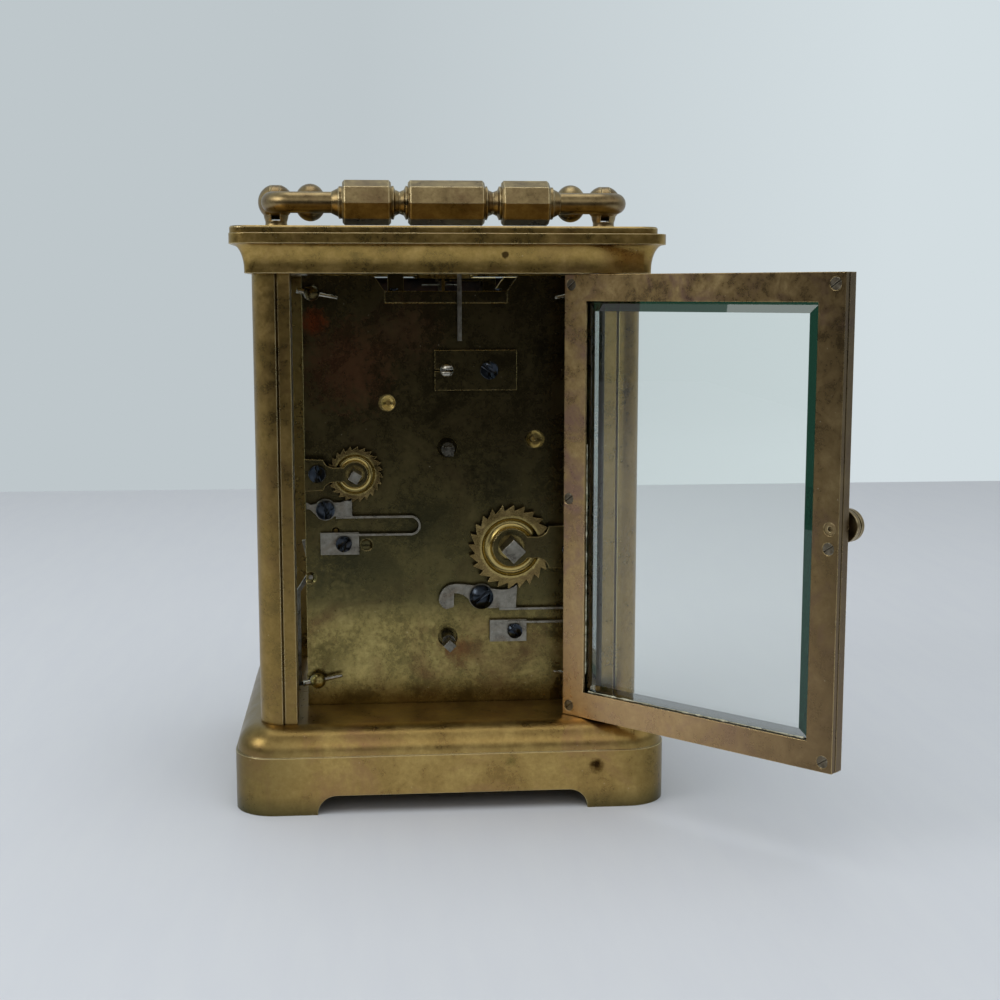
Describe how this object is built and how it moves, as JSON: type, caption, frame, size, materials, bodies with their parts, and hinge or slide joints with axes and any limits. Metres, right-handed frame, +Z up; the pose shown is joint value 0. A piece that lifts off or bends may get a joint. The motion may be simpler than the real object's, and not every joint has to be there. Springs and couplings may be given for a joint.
{
  "type": "carriage clock",
  "caption": "Glazed brass carriage clock with alarm: hinged rear door, folding bail, winding ratchets with hairpin click springs, going and alarm trains, platform lever escapement.",
  "frame": {"origin": "centre of the base's footprint, on the surface the feet stand on", "axes": "+Z up, the dial faces -Y, the rear door is at +Y"},
  "size_m": [0.1257, 0.1221, 0.1373],
  "materials": {
    "case_brass": "aged unlacquered, satin",
    "bail_brass": "worn bright on the grip",
    "plate_brass": "tarnished",
    "wheel_brass": "satin",
    "bell_metal": "turned, satin",
    "steel": "grained",
    "blued_steel": "blued, polished",
    "glass": "bevelled, clear",
    "enamel": "vitreous enamel, gloss"
  },
  "bodies": {
    "case": {"base_plinth": "case_brass", "case_screws": "steel", "post_rear_left": "case_brass", "post_rear_right": "case_brass", "post_front_left": "case_brass", "post_front_right": "case_brass", "cornice": "case_brass", "top_frame": "case_brass", "top_glass": "glass", "glass_left": "glass", "glass_right": "glass", "glass_front": "glass", "handle_posts": "bail_brass", "hinge_pins": "steel", "bell": "bell_metal", "back_plate": "plate_brass", "front_plate": "plate_brass", "movement_pillars": "plate_brass", "movement_screws": "blued_steel", "alarm_cock": "plate_brass", "going_cock": "plate_brass", "contrate_cock": "plate_brass", "platform": "plate_brass", "platform_cocks": "plate_brass", "dial_plate": "enamel", "hairspring": "blued_steel", "going_click_spring": "steel", "alarm_click_spring": "steel"},
    "handle": {"handle_bail": "bail_brass", "handle_grip": "bail_brass"},
    "door": {"door_frame": "case_brass", "door_retainer": "case_brass", "door_glass": "glass", "door_screws": "steel", "door_knob": "case_brass"},
    "going_winding_arbor": {"going_arbor": "steel", "going_ratchet": "wheel_brass"},
    "alarm_winding_arbor": {"alarm_arbor": "steel", "alarm_ratchet": "wheel_brass"},
    "going_pawl": {"going_click": "steel"},
    "alarm_pawl": {"alarm_click": "steel"},
    "great_wheel": {"going_barrel": "wheel_brass"},
    "intermediate": {"intermediate_wheel": "wheel_brass"},
    "centre": {"centre_wheel": "wheel_brass"},
    "third": {"third_wheel": "wheel_brass"},
    "contrate": {"contrate_wheel": "wheel_brass"},
    "escape": {"escape_wheel": "steel"},
    "lever": {"pallet_lever": "steel"},
    "balance": {"balance_wheel": "wheel_brass"},
    "index": {"regulator_index": "steel"},
    "alarm_drum": {"alarm_barrel": "wheel_brass"},
    "alarm_escape": {"alarm_escape_wheel": "wheel_brass"},
    "alarm_hammer": {"hammer": "steel"},
    "hand_shaft": {"centre_arbor": "steel"},
    "motion": {"minute_wheel": "wheel_brass"},
    "hour": {"hour_wheel": "wheel_brass", "hour_hand": "blued_steel"},
    "idler": {"idler_wheel": "wheel_brass"},
    "alarm_disc": {"alarm_wheel": "wheel_brass"},
    "alarm_hand_shaft": {"alarm_setting": "steel"}
  },
  "joints": [
    {"name": "door_hinge", "type": "hinge", "parent": "case", "child": "door", "pos_m": [-0.02935, 0.03405, 0.07], "axis": [0, 0, 1], "range_deg": [-134, 0]},
    {"name": "handle_fold", "type": "hinge", "parent": "case", "child": "handle", "pos_m": [0.0383, 0, 0.133], "axis": [1, 0, 0], "range_deg": [0, 186]},
    {"name": "going_winding", "type": "hinge", "parent": "case", "child": "going_winding_arbor", "pos_m": [-0.0144, 0.02, 0.055], "axis": [0, 1, 0], "continuous": true},
    {"name": "alarm_winding", "type": "hinge", "parent": "case", "child": "alarm_winding_arbor", "pos_m": [0.0207, 0.02, 0.072], "axis": [0, 1, 0], "continuous": true},
    {"name": "going_click_pivot", "type": "hinge", "parent": "case", "child": "going_pawl", "pos_m": [-0.0076, 0.021, 0.0436], "axis": [0, 1, 0], "range_deg": [-7, 0], "stiffness_Nm_per_rad": 0.01, "springref_deg": 17.19, "deforming": ["going_click_spring"]},
    {"name": "alarm_click_pivot", "type": "hinge", "parent": "case", "child": "alarm_pawl", "pos_m": [0.0274, 0.021, 0.064], "axis": [0, 1, 0], "range_deg": [-7, 0], "stiffness_Nm_per_rad": 0.008, "springref_deg": 17.19, "deforming": ["alarm_click_spring"]},
    {"name": "third_wheel_turn", "type": "hinge", "parent": "case", "child": "third", "pos_m": [0.0131, 0, 0.0878], "axis": [0, 1, 0], "continuous": true},
    {"name": "centre_wheel_turn", "type": "hinge", "parent": "case", "child": "centre", "pos_m": [0, 0, 0.0777], "axis": [0, 1, 0], "continuous": true},
    {"name": "intermediate_wheel_turn", "type": "hinge", "parent": "case", "child": "intermediate", "pos_m": [-0.0196, 0, 0.0794], "axis": [0, 1, 0], "continuous": true},
    {"name": "going_barrel_turn", "type": "hinge", "parent": "case", "child": "great_wheel", "pos_m": [-0.0144, 0, 0.055], "axis": [0, 1, 0], "continuous": true},
    {"name": "contrate_wheel_turn", "type": "hinge", "parent": "case", "child": "contrate", "pos_m": [0, 0, 0.0951], "axis": [0, 1, 0], "continuous": true},
    {"name": "escape_wheel_turn", "type": "hinge", "parent": "case", "child": "escape", "pos_m": [0, -0.009, 0.10665], "axis": [0, 0, 1], "continuous": true},
    {"name": "lever_swing", "type": "hinge", "parent": "case", "child": "lever", "pos_m": [0, -0.0016, 0.11365], "axis": [0, 0, 1], "range_deg": [-4.5, 4.5]},
    {"name": "balance_swing", "type": "hinge", "parent": "case", "child": "balance", "pos_m": [0, 0.007, 0.11465], "axis": [0, 0, 1], "range_deg": [-270, 270], "stiffness_Nm_per_rad": 0.0000027},
    {"name": "index_turn", "type": "hinge", "parent": "case", "child": "index", "pos_m": [0, 0.007, 0.11965], "axis": [0, 0, 1], "range_deg": [-22, 7]},
    {"name": "alarm_barrel_turn", "type": "hinge", "parent": "case", "child": "alarm_drum", "pos_m": [0.0207, 0, 0.072], "axis": [0, 1, 0], "continuous": true},
    {"name": "alarm_escape_turn", "type": "hinge", "parent": "case", "child": "alarm_escape", "pos_m": [0.0252, 0, 0.0589], "axis": [0, 1, 0], "continuous": true},
    {"name": "hammer_swing", "type": "hinge", "parent": "case", "child": "alarm_hammer", "pos_m": [0.031, 0, 0.0483], "axis": [0, 1, 0], "range_deg": [-1.5, 3]},
    {"name": "hand_setting", "type": "hinge", "parent": "case", "child": "hand_shaft", "pos_m": [0, 0, 0.0777], "axis": [0, 1, 0], "continuous": true},
    {"name": "minute_wheel_turn", "type": "hinge", "parent": "case", "child": "motion", "pos_m": [-0.0136, -0.021, 0.0777], "axis": [0, 1, 0], "continuous": true},
    {"name": "hour_wheel_turn", "type": "hinge", "parent": "case", "child": "hour", "pos_m": [0, -0.023, 0.0777], "axis": [0, 1, 0], "continuous": true},
    {"name": "idler_wheel_turn", "type": "hinge", "parent": "case", "child": "idler", "pos_m": [0, -0.023, 0.05585], "axis": [0, 1, 0], "continuous": true},
    {"name": "alarm_wheel_turn", "type": "hinge", "parent": "case", "child": "alarm_disc", "pos_m": [0, -0.022, 0.034], "axis": [0, 1, 0], "continuous": true},
    {"name": "alarm_setting_turn", "type": "hinge", "parent": "case", "child": "alarm_hand_shaft", "pos_m": [0, 0, 0.034], "axis": [0, 1, 0], "continuous": true}
  ],
  "couplings": [
    {"joint": "centre_wheel_turn", "follows": "third_wheel_turn", "ratio": -0.125},
    {"joint": "intermediate_wheel_turn", "follows": "third_wheel_turn", "ratio": 0.023438},
    {"joint": "going_barrel_turn", "follows": "third_wheel_turn", "ratio": -0.0033482},
    {"joint": "contrate_wheel_turn", "follows": "third_wheel_turn", "ratio": -7.5},
    {"joint": "escape_wheel_turn", "follows": "third_wheel_turn", "ratio": -75},
    {"joint": "alarm_escape_turn", "follows": "alarm_barrel_turn", "ratio": -7.5},
    {"joint": "minute_wheel_turn", "follows": "hand_setting", "ratio": -0.33333},
    {"joint": "hour_wheel_turn", "follows": "hand_setting", "ratio": 0.083333},
    {"joint": "idler_wheel_turn", "follows": "hand_setting", "ratio": -0.083333},
    {"joint": "alarm_wheel_turn", "follows": "hand_setting", "ratio": 0.083333}
  ]
}
